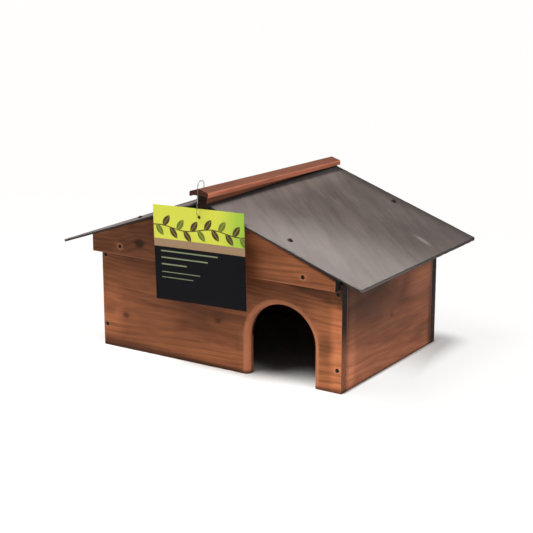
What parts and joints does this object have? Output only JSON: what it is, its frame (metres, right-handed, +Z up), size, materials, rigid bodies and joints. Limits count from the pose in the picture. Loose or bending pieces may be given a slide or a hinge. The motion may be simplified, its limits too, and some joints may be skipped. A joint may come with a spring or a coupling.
{
  "type": "hedgehog house",
  "caption": "Wooden garden shelter for hedgehogs with an arched doorway, a lift-off slate roof with a ridge moulding, and a hanging card tag.",
  "frame": {"origin": "under the middle of the whole object, on the ground", "axes": "+X to the right seen from the doorway side, +Y to the rear, +Z up; the doorway faces -Y"},
  "size_m": [0.587, 0.417, 0.3234],
  "materials": {
    "stained_panel": "red-brown stained softwood, satin, visible grain and knots",
    "stained_gable": "red-brown stained softwood, satin, a little darker than the panels",
    "stained_ridge": "red-brown stained softwood moulding, satin",
    "stained_batten": "dark red-brown stained softwood, matt",
    "roof_slate": "grey-brown riven slate, soft sheen",
    "dark_screws": "dark phosphate-coated steel",
    "clear_loop": "translucent plastic filament",
    "printed_card": "printed card: lime header, tan strip, near-black panel"
  },
  "bodies": {
    "box": {"front_panel": "stained_panel", "rear_panel": "stained_panel", "left_wall": "stained_panel", "right_wall": "stained_panel", "front_panel_screws": "dark_screws", "rear_panel_screws": "dark_screws"},
    "roof": {"front_gable": "stained_gable", "rear_gable": "stained_gable", "front_gable_screws": "dark_screws", "rear_gable_screws": "dark_screws", "left_purlin": "stained_batten", "right_purlin": "stained_batten", "left_slate": "roof_slate", "right_slate": "roof_slate", "left_slate_screws": "dark_screws", "right_slate_screws": "dark_screws", "ridge_beam": "stained_batten", "ridge_cap": "stained_ridge", "ridge_beam_screws": "dark_screws", "ridge_cap_brads": "dark_screws", "tag_loop": "clear_loop"},
    "tag": {"hang_tag": "printed_card"}
  },
  "joints": [
    {"name": "roof_lift", "type": "slide", "parent": "box", "child": "roof", "axis": [0, 0, 1], "range_m": [0, 0.15]},
    {"name": "tag_swing", "type": "hinge", "parent": "roof", "child": "tag", "pos_m": [-0.004, -0.2005, 0.2643], "axis": [0, 1, 0], "range_deg": [-15, 15]}
  ]
}
